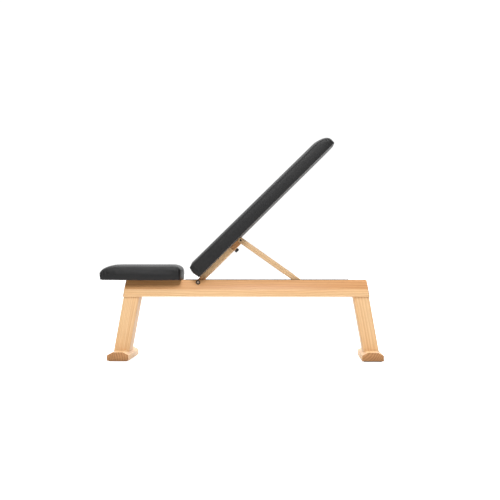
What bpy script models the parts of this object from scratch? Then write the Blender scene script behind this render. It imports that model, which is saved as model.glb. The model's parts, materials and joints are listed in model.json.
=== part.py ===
# Adjustable weight bench: a wooden T-foot frame with two rails, a fixed seat pad, and a back pad
# that reclines on an axle and is propped by a swinging strut with stepped racks under its foot.
# Metres, Z up, +X from the seat end to the back end, stood on the floor at Z = 0.
import math

import bmesh
import bpy
from mathutils import Matrix, Vector

GAP = 0.0003                    # clearance between pieces that touch
FRAME_X = 0.0246                # the frame's middle, measured from the middle of the whole bench

# rails
RAIL_TOP = 0.368
RAIL_BOTTOM = 0.290
RAIL_INNER = 0.050              # half the width of the slot between the rails
RAIL_OUTER = 0.086
RAIL_SHOULDER = 0.062           # half the width across the rail tops
RAIL_FLANK = 0.3245             # the upright outer face ends here and a sloped face runs inwards
RAIL_REACH = 0.003              # how far the rails run past the legs
RAIL_ROUNDING = 0.0015

# legs
LEG_HALF_WIDTH = 0.077
LEG_THICKNESS = 0.073           # measured along X
LEG_OUTER_TOP = 0.5554          # outer face at the height of the rail top
LEG_SLOPE = 0.18                # how far a leg leans out for each metre down
END_ROUNDING = 0.008

# feet
FOOT_X = 0.5795
FOOT_HALF_LENGTH = 0.21
FOOT_WIDTH = 0.0985
FOOT_TOP = 0.0415
FOOT_SHOULDER = 0.028           # height where the sloped top faces start
FOOT_SLOPE_WIDTH = 0.025
FOOT_POCKET = 0.0282            # floor of the pocket that holds the leg
GLIDE_HEIGHT = 0.0025
GLIDE_SIZE = (0.080, 0.060)
GLIDE_Y = 0.172
BOLT_X = 0.5765
BOLT_Y = 0.045
BOLT_SEAT = 0.015               # floor of the counterbore under a foot
BOLT_TOP = 0.085
BOLT_RADIUS = 0.004
BOLT_HEAD = (0.007, 0.006)      # radius and height
BOLT_FLANGE = (0.009, 0.0015)

# cross ties and leg dowels
TIE_WIDTH = 0.040
TIE_HEIGHT = 0.032
TENON_HALF_HEIGHT = 0.008
TENON_LENGTH = 0.010
SEAT_TIES = (-0.435, -0.315)
CENTRE_TIE_X = 0.000
LEG_DOWELS = ((0.507, 0.347), (0.545, 0.315))
LEG_DOWEL_RADIUS = 0.006
LEG_DOWEL_HALF = 0.062

# hinge
HINGE_X = -0.2231
HINGE_Z = 0.3565
AXLE_RADIUS = 0.005
AXLE_HALF = 0.0625
HINGE_SEAT = 0.0600             # floor of the pocket that holds a flange, from the middle
BUSH_RADIUS = 0.007
FLANGE_RADIUS = 0.0100
FLANGE_HEIGHT = 0.0020
SPACER_RADIUS = 0.008

# rest strips let into the rail tops
STRIP_START = -0.290
STRIP_END = 0.478
STRIP_WIDTH = 0.009
STRIP_FLOOR = 0.3663
STRIP_TOP = 0.3693

# pads and the boards inside them
PAD_HALF_WIDTH = 0.130
SEAT_FRONT = -0.678
SEAT_REAR = -0.299
SEAT_TOP = 0.440
SEAT_UNDERSIDE = 0.3683
BACK_START = 0.0158             # along the back, from the hinge
BACK_END = 0.9034
BACK_UNDERSIDE = 0.0131         # above the hinge, square to the back
BACK_LOWER_TOP = 0.0841
BACK_UPPER_TOP = 0.0791
BOARD_INSET = 0.013
BOARD_THICKNESS = 0.012
CLOTH_THICKNESS = 0.0008

# back frame, measured along the back and square to it
REST_ANGLE = 44.7
FLAT_ANGLE = 0.0
RAISED_ANGLE = 75.0
SLAT_INNER = 0.010
SLAT_OUTER = 0.029
SLAT_LOW = -0.0112
SLAT_HIGH = 0.0128
SLAT_END = 0.2192
BLOCK_START = 0.2195
BLOCK_END = 0.2905
BLOCK_HALF_WIDTH = 0.0285
PIN_DISTANCE = 0.2785
PIN_RADIUS = 0.004
PIN_HALF = 0.0456
BUFFER_ALONG = 0.2314
BUFFER_RADIUS = 0.010
BUFFER_HEIGHT = 0.011
BUFFER_WASHER = 0.0025

# strut
STRUT_LENGTH = 0.375            # between the centres of its round ends
STRUT_RADIUS = 0.0125
STRUT_INNER = 0.030
STRUT_OUTER = 0.045
STRUT_REST = 80.0               # angle between the back and the strut at rest
STRUT_RATIO = 1.7226            # degrees that the strut opens for each degree of the back
RUNG_RADIUS = 0.007
MID_RUNG_ALONG = 0.190
MID_RUNG_RADIUS = 0.006
MID_RUNG_DEPTH = 0.010

# racks
RACK_INNER = 0.033
RACK_OUTER = 0.0497
RACK_BOTTOM = 0.2915
RACK_CLEARANCE = 0.0006         # between the rack and the path of the strut's foot
RACK_STOPS = (75.0, 60.0, 44.7, 30.0, 15.0, 0.0)
RACK_END_HEIGHT = 0.350
RACK_LEAD = 0.010               # the rack starts this far before the strut's foot
RACK_WALL = 0.013               # thickness of the stop at its far end
RACK_WALL_GAP = 0.0014
NOTCH_DEPTH = 0.006
NOTCH_RAMP = 0.024
NOTCH_RAMP_SHARE = 0.8          # most of the way between two notches that a ramp may take
NOTCH_SLOPE = 0.012
NOTCH_FLOOR = 0.003             # the floor reaches this far past the foot's centre
NOTCH_LIP = 0.005
RACK_WEB = 0.003                # least wood left under a notch

# screws
SCREW_RADIUS = 0.002
SCREW_HEAD_RADIUS = 0.004
SCREW_HEAD_HEIGHT = 0.003
RACK_SCREW_LENGTH = 0.034
SEAT_SCREW_LENGTH = 0.042
SLAT_SCREW_LENGTH = 0.033
BUFFER_SCREW_LENGTH = 0.045
RACK_SCREWS_X = (0.115, 0.390)
RACK_SCREW_Z = 0.2990
SLAT_SCREWS = (0.060, 0.180)

MATERIALS = {
    "oiled_ash": ((0.62, 0.42, 0.25), 0.55, 0.0),
    "hidden_wood": ((0.55, 0.40, 0.26), 0.65, 0.0),
    "charcoal_leather": ((0.045, 0.043, 0.041), 0.55, 0.0),
    "plywood": ((0.50, 0.37, 0.24), 0.7, 0.0),
    "backing_cloth": ((0.16, 0.16, 0.16), 0.9, 0.0),
    "black_steel": ((0.02, 0.02, 0.02), 0.45, 0.6),
    "bright_steel": ((0.60, 0.60, 0.60), 0.3, 1.0),
    "black_rubber": ((0.02, 0.02, 0.02), 0.8, 0.0),
    "brown_felt": ((0.05, 0.035, 0.028), 0.95, 0.0),
}


def clear_scene():
    for old in list(bpy.data.objects):
        bpy.data.objects.remove(old, do_unlink=True)


def new_collection(name):
    collection = bpy.data.collections.new(name)
    bpy.context.scene.collection.children.link(collection)
    return collection


def make_materials():
    for name, (colour, roughness, metallic) in MATERIALS.items():
        material = bpy.data.materials.new(name)
        material.use_nodes = True
        shader = material.node_tree.nodes["Principled BSDF"]
        shader.inputs["Base Color"].default_value = (*colour, 1.0)
        shader.inputs["Roughness"].default_value = roughness
        shader.inputs["Metallic"].default_value = metallic


def new_empty(name, location, tilt=0.0, parent=None):
    empty = bpy.data.objects.new(name, None)
    parts.objects.link(empty)
    empty.location = location
    empty.rotation_euler = (0.0, math.radians(tilt), 0.0)
    empty.parent = parent
    return empty


def new_piece(name, mesh, parent, material, location=(0, 0, 0)):
    mesh.name = name
    mesh.materials.clear()
    mesh.materials.append(bpy.data.materials[material])
    piece = bpy.data.objects.new(name, mesh)
    parts.objects.link(piece)
    piece.parent = parent
    piece.location = location
    return piece


def new_cutter(name, meshes, parent):
    # meshes is a list of (mesh, placement) pairs, joined as separate closed bodies
    cutter = bpy.data.objects.new(name, joined(meshes))
    cutters.objects.link(cutter)
    cutter.parent = parent
    cutter.hide_render = True
    cutter.display_type = "WIRE"
    return cutter


def cut(piece, cutter):
    boolean = piece.modifiers.new(cutter.name, "BOOLEAN")
    boolean.operation = "DIFFERENCE"
    boolean.object = cutter


def bevel(piece, width, segments, angle=None):
    # without an angle only the edges marked with a bevel weight are rounded
    rounding = piece.modifiers.new("rounding", "BEVEL")
    rounding.width = width
    rounding.segments = segments
    rounding.limit_method = "WEIGHT"
    if angle is not None:
        rounding.limit_method = "ANGLE"
        rounding.angle_limit = math.radians(angle)


def mark_edges(mesh, is_marked):
    # only real corners count, not the edges inside a flat face
    bm = bmesh.new()
    bm.from_mesh(mesh)
    weight = bm.edges.layers.float.new("bevel_weight_edge")
    for edge in bm.edges:
        if edge.calc_face_angle() > 0.3 and is_marked(edge.verts[0].co, edge.verts[1].co):
            edge[weight] = 1.0
    bm.to_mesh(mesh)
    bm.free()


def joined(meshes):
    bm = bmesh.new()
    for mesh, placement in meshes:
        copy = mesh.copy()
        copy.transform(placement)
        bm.from_mesh(copy)
        bpy.data.meshes.remove(copy)
    result = bpy.data.meshes.new("joined")
    bm.to_mesh(result)
    bm.free()
    return result


def evaluated_mesh(source):
    # the mesh that a modifier or a curve makes, with its loose caps welded
    parts.objects.link(source)
    depsgraph = bpy.context.evaluated_depsgraph_get()
    mesh = bpy.data.meshes.new_from_object(source.evaluated_get(depsgraph))
    bpy.data.objects.remove(source, do_unlink=True)
    bm = bmesh.new()
    bm.from_mesh(mesh)
    bmesh.ops.remove_doubles(bm, verts=bm.verts, dist=0.00001)
    bmesh.ops.recalc_face_normals(bm, faces=bm.faces)
    bm.to_mesh(mesh)
    bm.free()
    return mesh


def box_mesh(low, high):
    size = Vector(high) - Vector(low)
    middle = (Vector(high) + Vector(low)) / 2
    bm = bmesh.new()
    bmesh.ops.create_cube(bm, size=1.0)
    bmesh.ops.scale(bm, vec=size, verts=bm.verts)
    bmesh.ops.translate(bm, vec=middle, verts=bm.verts)
    mesh = bpy.data.meshes.new("box")
    bm.to_mesh(mesh)
    bm.free()
    return mesh


def rod_mesh(radius, start, end, sides=16):
    # a round bar along Y, from one Y value to another
    bm = bmesh.new()
    bmesh.ops.create_cone(bm, cap_ends=True, segments=sides, radius1=radius, radius2=radius,
                          depth=end - start)
    mesh = bpy.data.meshes.new("rod")
    bm.to_mesh(mesh)
    bm.free()
    mesh.transform(Matrix.Translation((0, (start + end) / 2, 0)) @ Matrix.Rotation(math.pi / 2, 4, "X"))
    return mesh


def turned_mesh(profile, steps=12):
    # a profile of (radius, height) points, run from the top down, turned about Z
    mesh = bpy.data.meshes.new("profile")
    points = [(radius, 0.0, height) for radius, height in profile]
    edges = [(i, i + 1) for i in range(len(points) - 1)]
    mesh.from_pydata(points, edges, [])
    source = bpy.data.objects.new("profile", mesh)
    screw = source.modifiers.new("turn", "SCREW")
    screw.steps = steps
    screw.render_steps = steps
    screw.use_merge_vertices = True
    screw.merge_threshold = 0.00001
    return evaluated_mesh(source)


def ring_mesh(inner, outer, start, end, steps=24):
    # a tube about the Y axis between two Y values
    profile = ((inner, end), (outer, end), (outer, start), (inner, start), (inner, end))
    mesh = turned_mesh(profile, steps)
    mesh.transform(Matrix.Rotation(-math.pi / 2, 4, "X"))
    return mesh


def screw_mesh(length, clearance=0.0):
    # head at the origin, point towards +Z
    shank = SCREW_RADIUS + clearance
    head = SCREW_HEAD_RADIUS + clearance
    reach = length + clearance
    profile = ((0, reach), (shank, reach), (shank, SCREW_HEAD_HEIGHT), (head, -clearance), (0, -clearance))
    return turned_mesh(profile, 10)


def plate_mesh(outlines, low, high):
    # flat outlines in X and Z, made solid between two Y values
    curve = bpy.data.curves.new("outline", "CURVE")
    curve.dimensions = "2D"
    curve.fill_mode = "BOTH"
    curve.extrude = (high - low) / 2
    for outline in outlines:
        spline = curve.splines.new("POLY")
        spline.points.add(len(outline) - 1)
        for point, (x, z) in zip(spline.points, outline):
            point.co = (x, z, 0.0, 1.0)
        spline.use_cyclic_u = True
    mesh = evaluated_mesh(bpy.data.objects.new("outline", curve))
    mesh.transform(Matrix.Translation((0, (low + high) / 2, 0)) @ Matrix.Rotation(math.pi / 2, 4, "X"))
    return mesh


def arc(x, z, radius_x, radius_z, start, end, steps):
    # points along part of an ellipse, between two angles in degrees
    points = []
    for i in range(steps + 1):
        angle = math.radians(start + (end - start) * i / steps)
        points.append((x + radius_x * math.cos(angle), z + radius_z * math.sin(angle)))
    return points


def circle(x, z, radius, steps=20):
    return arc(x, z, radius, radius, 0, 360, steps)[:-1]


def leg_outer(z):
    return LEG_OUTER_TOP + (RAIL_TOP - z) * LEG_SLOPE


def leg_outline(bottom, top, grow=0.0):
    outer = [(leg_outer(z) + grow, z) for z in (bottom, top)]
    inner = [(leg_outer(z) - LEG_THICKNESS - grow, z) for z in (top, bottom)]
    return outer + inner


def on_rail(side, y_low, y_high):
    # the two Y values of something on the near (-1) or far (+1) side, lowest first
    return (side * y_high, side * y_low) if side < 0 else (y_low, y_high)


def strut_direction(angle):
    # the strut's angle to the floor for an angle of the back, in radians
    opened = STRUT_REST + (angle - REST_ANGLE) * STRUT_RATIO
    return math.radians(angle - opened)


def strut_foot(angle):
    # the centre of the strut's foot in the frame, for an angle of the back
    back = math.radians(angle)
    direction = strut_direction(angle)
    x = HINGE_X + PIN_DISTANCE * math.cos(back) + STRUT_LENGTH * math.cos(direction)
    z = HINGE_Z + PIN_DISTANCE * math.sin(back) + STRUT_LENGTH * math.sin(direction)
    return x, z


def strut_underside(angle, x):
    # height of the lowest wood of the strut above x, or None past its round foot
    direction = strut_direction(angle)
    foot_x, foot_z = strut_foot(angle)
    if x < foot_x + STRUT_RADIUS * math.sin(direction):
        return foot_z + (x - foot_x) * math.tan(direction) - STRUT_RADIUS / math.cos(direction)
    if x < foot_x + STRUT_RADIUS:
        return foot_z - math.sqrt(STRUT_RADIUS ** 2 - (x - foot_x) ** 2)
    return None


def rack_level(x):
    # how high the rack may stand at x: just under the strut at every angle of the back
    steps = 300
    angles = [FLAT_ANGLE + (RAISED_ANGLE - FLAT_ANGLE) * i / steps for i in range(steps + 1)]
    heights = [strut_underside(angle, x) for angle in angles]
    return min(height for height in heights if height is not None) - RACK_CLEARANCE


def rack_outline():
    start = strut_foot(RAISED_ANGLE)[0] - STRUT_RADIUS - RACK_LEAD
    wall = strut_foot(FLAT_ANGLE)[0] + STRUT_RADIUS + RACK_WALL_GAP
    end = wall + RACK_WALL
    top = [(start, rack_level(start))]
    for angle in RACK_STOPS:
        x = strut_foot(angle)[0]
        ramp = min(NOTCH_RAMP, (x - top[-1][0]) * NOTCH_RAMP_SHARE)
        depth = min(NOTCH_DEPTH, rack_level(x) - RACK_BOTTOM - RACK_WEB)
        floor = rack_level(x) - depth
        if ramp == NOTCH_RAMP:
            middle = (top[-1][0] + x - ramp) / 2
            top.append((middle, rack_level(middle)))
        top.append((x - ramp, rack_level(x - ramp)))
        top.append((x - ramp + NOTCH_SLOPE, floor))
        top.append((x + NOTCH_FLOOR, floor))
        if angle != FLAT_ANGLE:
            top.append((x + NOTCH_LIP, rack_level(x + NOTCH_LIP)))
    return top + [(wall, floor), (wall, RACK_END_HEIGHT), (end, RACK_END_HEIGHT), (end, RACK_BOTTOM),
                  (start, RACK_BOTTOM)]


def tie_places():
    # the middle of each cross tie in X and Z
    seat_z = RAIL_TOP - GAP - TIE_HEIGHT / 2
    centre_z = centre_tie_top() - TIE_HEIGHT / 2
    return {"cross_tie_front": (SEAT_TIES[0], seat_z), "cross_tie_rear": (SEAT_TIES[1], seat_z),
            "cross_tie_centre": (CENTRE_TIE_X, centre_z)}


def centre_tie_top():
    # the buffer under the back lands here when the back is flat
    return HINGE_Z + SLAT_LOW - GAP - BUFFER_WASHER - GAP - BUFFER_HEIGHT - GAP


def tie_mortises():
    # the holes in the rails for the tenons at the ends of the ties
    half = TIE_WIDTH / 2 + GAP
    reach = RAIL_INNER + TENON_LENGTH + GAP
    height = TENON_HALF_HEIGHT + GAP
    mesh = box_mesh((-half, -reach, -height), (half, reach, height))
    return [(mesh, Matrix.Translation((x, 0, z))) for x, z in tie_places().values()]


def rack_screws(side):
    # where the screws start on the rack's inner face, turned to run outwards into the rail
    turn = Matrix.Rotation(-side * math.pi / 2, 4, "X")
    return [Matrix.Translation((x, side * RACK_INNER, RACK_SCREW_Z)) @ turn for x in RACK_SCREWS_X]


def seat_screws():
    return [Matrix.Translation((x, 0, RAIL_TOP - GAP - TIE_HEIGHT)) for x in SEAT_TIES]


def slat_screws(side):
    y = side * (SLAT_INNER + SLAT_OUTER) / 2
    return [Matrix.Translation((x, y, SLAT_LOW)) for x in SLAT_SCREWS]


def buffer_base():
    # the face of the rubber buffer that bears on its washer
    return SLAT_LOW - GAP - BUFFER_WASHER - GAP


def buffer_screw():
    # it holds the buffer, its washer and the pivot block to the back board
    return Matrix.Translation((BUFFER_ALONG, 0, buffer_base() - BUFFER_HEIGHT + 0.004))


def screw_holes(name, places, length, parent):
    mesh = screw_mesh(length, GAP)
    return new_cutter(name, [(mesh, place) for place in places], parent)


def new_screw(name, place, length, parent):
    mesh = screw_mesh(length)
    mesh.transform(place)
    return new_piece(name, mesh, parent, "bright_steel")


def bolt_mesh():
    head_radius, head_height = BOLT_HEAD
    flange_radius, flange_height = BOLT_FLANGE
    flange_top = BOLT_SEAT - GAP
    head_top = flange_top - flange_height
    profile = ((0, BOLT_TOP), (BOLT_RADIUS, BOLT_TOP), (BOLT_RADIUS, flange_top), (flange_radius, flange_top),
               (flange_radius, head_top), (head_radius, head_top), (head_radius, head_top - head_height),
               (0, head_top - head_height))
    return turned_mesh(profile, 12)


def build_rails():
    for name, side in (("rail_near", -1), ("rail_far", 1)):
        outer = [(leg_outer(z) + RAIL_REACH, z) for z in (RAIL_BOTTOM, RAIL_TOP)]
        outline = outer + [(-x, z) for x, z in reversed(outer)]
        mesh = plate_mesh([outline], *on_rail(side, RAIL_INNER, RAIL_OUTER))
        mark_edges(mesh, lambda a, b: abs(a.z - b.z) > 0.01 and side * a.y > RAIL_INNER + 0.01
                   and side * b.y > RAIL_INNER + 0.01)
        rail = new_piece(name, mesh, frame, "oiled_ash")
        bevel(rail, END_ROUNDING, 3)

        # the sloped face is cut by a three-sided bar laid along the rail
        run, rise = (RAIL_OUTER - RAIL_SHOULDER) / 2, (RAIL_TOP - RAIL_FLANK) / 2
        bar = [(RAIL_SHOULDER - run, RAIL_TOP + rise), (RAIL_OUTER + run, RAIL_FLANK - rise),
               (RAIL_OUTER + run, RAIL_TOP + rise)]
        turn = Matrix.Rotation(side * math.pi / 2, 4, "Z")
        cut(rail, new_cutter(name + "_slope", [(plate_mesh([bar], -0.7, 0.7), turn)], frame))
        bevel(rail, RAIL_ROUNDING, 2, 35)

        hinge = Matrix.Translation((HINGE_X, 0, HINGE_Z))
        pocket = rod_mesh(FLANGE_RADIUS + GAP, *on_rail(side, HINGE_SEAT, RAIL_OUTER + 0.01), 32)
        cut(rail, new_cutter(name + "_hinge_pocket", [(pocket, hinge)], frame))
        axle = rod_mesh(BUSH_RADIUS + GAP, *on_rail(side, RAIL_INNER - 0.01, RAIL_OUTER + 0.01), 24)
        groove_y = on_rail(side, RAIL_INNER - 0.01, RAIL_INNER + STRIP_WIDTH + GAP)
        groove = box_mesh((STRIP_START - GAP, groove_y[0], STRIP_FLOOR),
                          (STRIP_END + GAP, groove_y[1], RAIL_TOP + 0.01))
        still = Matrix.Identity(4)
        holes = [(axle, hinge), (groove, still)]
        half_turn = Matrix.Rotation(math.pi, 4, "Z")
        holes += leg_dowel_holes() + [(mesh, half_turn @ place) for mesh, place in leg_dowel_holes()]
        holes += tie_mortises()
        cut(rail, new_cutter(name + "_holes", holes, frame))
        cut(rail, screw_holes(name + "_screw_holes", rack_screws(side), RACK_SCREW_LENGTH, frame))


def leg_dowel_holes():
    hole = rod_mesh(LEG_DOWEL_RADIUS + GAP, -LEG_DOWEL_HALF - GAP, LEG_DOWEL_HALF + GAP, 16)
    return [(hole, Matrix.Translation((x, 0, z))) for x, z in LEG_DOWELS]


def build_leg(end_name, end):
    name = "leg_" + end_name
    mesh = plate_mesh([leg_outline(FOOT_POCKET + GAP, RAIL_TOP)], -LEG_HALF_WIDTH, LEG_HALF_WIDTH)
    mark_edges(mesh, lambda a, b: abs(a.z - b.z) > 0.1)
    leg = new_piece(name, mesh, end, "oiled_ash")
    bevel(leg, END_ROUNDING, 3)
    for side in (-1, 1):
        low, high = on_rail(side, RAIL_INNER - GAP, LEG_HALF_WIDTH + 0.02)
        cheek = box_mesh((LEG_OUTER_TOP - 0.1, low, RAIL_BOTTOM - GAP),
                         (LEG_OUTER_TOP + 0.1, high, RAIL_TOP + 0.05))
        cut(leg, new_cutter(name + "_cheek", [(cheek, Matrix.Identity(4))], end))
    bolt_hole = rod_mesh(BOLT_RADIUS + GAP, 0.0, BOLT_TOP + GAP, 12)
    upright = Matrix.Rotation(math.pi / 2, 4, "X")
    holes = leg_dowel_holes()
    for y in (-BOLT_Y, BOLT_Y):
        holes.append((bolt_hole, Matrix.Translation((BOLT_X, y, 0)) @ upright))
    cut(leg, new_cutter(name + "_holes", holes, end))
    for level, (x, z) in zip(("upper", "lower"), LEG_DOWELS):
        dowel = rod_mesh(LEG_DOWEL_RADIUS, -LEG_DOWEL_HALF, LEG_DOWEL_HALF, 16)
        new_piece("leg_dowel_" + end_name + "_" + level, dowel, end, "hidden_wood", (x, 0, z))


def build_foot(end_name, end):
    name = "foot_" + end_name
    half = FOOT_WIDTH / 2
    bottom = GLIDE_HEIGHT + GAP
    outline = [(-half, bottom), (half, bottom), (half, FOOT_SHOULDER), (half - FOOT_SLOPE_WIDTH, FOOT_TOP),
               (FOOT_SLOPE_WIDTH - half, FOOT_TOP), (-half, FOOT_SHOULDER)]
    foot = new_piece(name, plate_mesh([outline], -FOOT_HALF_LENGTH, FOOT_HALF_LENGTH), end,
                     "oiled_ash", (FOOT_X, 0, 0))
    bevel(foot, RAIL_ROUNDING, 2, 20)
    pocket = plate_mesh([leg_outline(FOOT_POCKET, FOOT_TOP + 0.03, GAP)],
                        -LEG_HALF_WIDTH - GAP, LEG_HALF_WIDTH + GAP)
    shank = rod_mesh(BOLT_RADIUS + GAP, 0.001, 0.05, 12)
    counterbore = rod_mesh(0.010, -0.001, BOLT_SEAT, 16)
    upright = Matrix.Rotation(math.pi / 2, 4, "X")
    places = [Matrix.Translation((BOLT_X, y, 0)) @ upright for y in (-BOLT_Y, BOLT_Y)]
    cut(foot, new_cutter(name + "_pocket", [(pocket, Matrix.Identity(4))], end))
    cut(foot, new_cutter(name + "_shanks", [(shank, place) for place in places], end))
    cut(foot, new_cutter(name + "_counterbores", [(counterbore, place) for place in places], end))


def build_ends():
    # the seat end is the back end turned half a turn about the middle of the frame
    width, length = GLIDE_SIZE
    for end_name, turn in (("seat_end", math.pi), ("back_end", 0.0)):
        end = new_empty(end_name, (0, 0, 0), 0.0, frame)
        end.rotation_euler.z = turn
        build_leg(end_name, end)
        build_foot(end_name, end)
        near = 1 if turn else -1
        for side_name, side in (("near", near), ("far", -near)):
            ending = end_name + "_" + side_name
            new_piece("foot_bolt_" + ending, bolt_mesh(), end, "bright_steel", (BOLT_X, side * BOLT_Y, 0))
            glide = box_mesh((-width / 2, -length / 2, 0), (width / 2, length / 2, GLIDE_HEIGHT))
            new_piece("foot_glide_" + ending, glide, end, "black_rubber", (FOOT_X, side * GLIDE_Y, 0))


def build_ties():
    half = TIE_WIDTH / 2
    reach = RAIL_INNER + TENON_LENGTH
    for name, (x, z) in tie_places().items():
        mesh = box_mesh((x - half, -reach, z - TIE_HEIGHT / 2), (x + half, reach, z + TIE_HEIGHT / 2))
        tie = new_piece(name, mesh, frame, "oiled_ash")
        bevel(tie, 0.0015, 1, 35)
        shoulders = []
        for side in (-1, 1):
            low, high = on_rail(side, RAIL_INNER - GAP, reach + 0.01)
            for z_low, z_high in ((z - 0.05, z - TENON_HALF_HEIGHT), (z + TENON_HALF_HEIGHT, z + 0.05)):
                shoulder = box_mesh((x - 0.1, low, z_low), (x + 0.1, high, z_high))
                shoulders.append((shoulder, Matrix.Identity(4)))
        cut(tie, new_cutter(name + "_shoulders", shoulders, frame))
    holes = screw_holes("seat_tie_holes", seat_screws(), SEAT_SCREW_LENGTH, frame)
    for name in ("cross_tie_front", "cross_tie_rear"):
        cut(bpy.data.objects[name], holes)


def build_racks():
    for name, side in (("near", -1), ("far", 1)):
        mesh = plate_mesh([rack_outline()], *on_rail(side, RACK_INNER, RACK_OUTER))
        rack = new_piece("rack_" + name, mesh, frame, "oiled_ash")
        cut(rack, screw_holes("rack_" + name + "_holes", rack_screws(side), RACK_SCREW_LENGTH, frame))
        for place, ending in zip(rack_screws(side), ("front", "rear")):
            new_screw("rack_screw_" + name + "_" + ending, place, RACK_SCREW_LENGTH, frame)


def build_rest_strips():
    for name, side in (("near", -1), ("far", 1)):
        low, high = on_rail(side, RAIL_INNER + GAP, RAIL_INNER + STRIP_WIDTH)
        mesh = box_mesh((STRIP_START, low, STRIP_FLOOR + GAP), (STRIP_END, high, STRIP_TOP))
        new_piece("rest_strip_" + name, mesh, frame, "brown_felt")


def build_hinge():
    place = (HINGE_X, 0, HINGE_Z)
    new_piece("hinge_axle", rod_mesh(AXLE_RADIUS, -AXLE_HALF, AXLE_HALF, 24), frame, "bright_steel", place)
    bore = AXLE_RADIUS + GAP
    for name, side in (("near", -1), ("far", 1)):
        face = HINGE_SEAT + GAP
        profile = ((bore, face + FLANGE_HEIGHT), (FLANGE_RADIUS - 0.0006, face + FLANGE_HEIGHT),
                   (FLANGE_RADIUS, face + FLANGE_HEIGHT - 0.0006), (FLANGE_RADIUS, face),
                   (BUSH_RADIUS, face), (BUSH_RADIUS, RAIL_INNER + GAP), (bore, RAIL_INNER + GAP),
                   (bore, face + FLANGE_HEIGHT))
        bush = turned_mesh(profile, 24)
        bush.transform(Matrix.Rotation(-side * math.pi / 2, 4, "X"))
        new_piece("hinge_bush_" + name, bush, frame, "black_steel", place)
        spacer = ring_mesh(bore, SPACER_RADIUS, *on_rail(side, SLAT_OUTER + GAP, RAIL_INNER - GAP))
        new_piece("hinge_spacer_" + name, spacer, frame, "bright_steel", place)
    spacer = ring_mesh(bore, SPACER_RADIUS, GAP - SLAT_INNER, SLAT_INNER - GAP)
    new_piece("hinge_spacer_centre", spacer, frame, "bright_steel", place)


def build_seat():
    outline = arc(SEAT_REAR - 0.010, SEAT_UNDERSIDE + 0.010, 0.010, 0.010, -90, 0, 3)
    outline += arc(SEAT_REAR - 0.035, SEAT_TOP - 0.030, 0.035, 0.030, 0, 90, 6)
    outline += arc(SEAT_FRONT + 0.085, SEAT_TOP - 0.045, 0.085, 0.045, 90, 180, 8)
    outline += arc(SEAT_FRONT + 0.014, SEAT_UNDERSIDE + 0.014, 0.014, 0.014, 180, 270, 3)
    pad = new_piece("seat_pad", plate_mesh([outline], -PAD_HALF_WIDTH, PAD_HALF_WIDTH), frame,
                    "charcoal_leather")
    cloth = SEAT_UNDERSIDE
    board = cloth + CLOTH_THICKNESS + GAP
    low_x, high_x, half_y = SEAT_FRONT + BOARD_INSET, SEAT_REAR - BOARD_INSET, PAD_HALF_WIDTH - BOARD_INSET
    pocket = box_mesh((low_x - GAP, -half_y - GAP, cloth - 0.02),
                      (high_x + GAP, half_y + GAP, board + BOARD_THICKNESS + GAP))
    cut(pad, new_cutter("seat_pocket", [(pocket, Matrix.Identity(4))], frame))
    holes = screw_holes("seat_board_holes", seat_screws(), SEAT_SCREW_LENGTH, frame)
    mesh = box_mesh((low_x, -half_y, board), (high_x, half_y, board + BOARD_THICKNESS))
    cut(new_piece("seat_board", mesh, frame, "plywood"), holes)
    mesh = box_mesh((low_x, -half_y, cloth), (high_x, half_y, cloth + CLOTH_THICKNESS))
    cut(new_piece("seat_backing", mesh, frame, "backing_cloth"), holes)
    for place, ending in zip(seat_screws(), ("front", "rear")):
        new_screw("seat_screw_" + ending, place, SEAT_SCREW_LENGTH, frame)


def build_back():
    low, high = BACK_UNDERSIDE, BACK_LOWER_TOP
    outline = arc(BACK_END - 0.014, low + 0.014, 0.014, 0.014, -90, 0, 3)
    outline += arc(BACK_END - 0.075, BACK_UPPER_TOP - 0.043, 0.075, 0.043, 0, 90, 8)
    outline += arc(BACK_START + 0.022, high - 0.022, 0.022, 0.022, 90, 180, 5)
    outline += arc(BACK_START + 0.010, low + 0.010, 0.010, 0.010, 180, 270, 3)
    pad = new_piece("back_pad", plate_mesh([outline], -PAD_HALF_WIDTH, PAD_HALF_WIDTH), back,
                    "charcoal_leather")
    board = low + CLOTH_THICKNESS + GAP
    low_x, high_x, half_y = BACK_START + BOARD_INSET, BACK_END - BOARD_INSET, PAD_HALF_WIDTH - BOARD_INSET
    pocket = box_mesh((low_x - GAP, -half_y - GAP, low - 0.02),
                      (high_x + GAP, half_y + GAP, board + BOARD_THICKNESS + GAP))
    cut(pad, new_cutter("back_pocket", [(pocket, Matrix.Identity(4))], back))

    places = slat_screws(-1) + slat_screws(1)
    holes = screw_holes("slat_screw_holes", places, SLAT_SCREW_LENGTH, back)
    buffer_hole = screw_holes("buffer_screw_hole", [buffer_screw()], BUFFER_SCREW_LENGTH, back)
    mesh = box_mesh((low_x, -half_y, board), (high_x, half_y, board + BOARD_THICKNESS))
    back_board = new_piece("back_board", mesh, back, "plywood")
    mesh = box_mesh((low_x, -half_y, low), (high_x, half_y, low + CLOTH_THICKNESS))
    backing = new_piece("back_backing", mesh, back, "backing_cloth")
    for sheet in (back_board, backing):
        cut(sheet, holes)
        cut(sheet, buffer_hole)
    build_slats(holes)
    build_pivot_block(buffer_hole)


def build_slats(holes):
    middle = (SLAT_LOW + SLAT_HIGH) / 2
    radius = (SLAT_HIGH - SLAT_LOW) / 2
    outline = arc(0, middle, radius, radius, 90, 270, 12) + [(SLAT_END, SLAT_LOW), (SLAT_END, SLAT_HIGH)]
    axle_hole = circle(0, 0, AXLE_RADIUS + GAP)
    for name, side in (("near", -1), ("far", 1)):
        mesh = plate_mesh([outline, axle_hole], *on_rail(side, SLAT_INNER, SLAT_OUTER))
        cut(new_piece("back_slat_" + name, mesh, back, "oiled_ash"), holes)
        for place, ending in zip(slat_screws(side), ("lower", "upper")):
            new_screw("slat_screw_" + name + "_" + ending, place, SLAT_SCREW_LENGTH, back)


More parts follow.
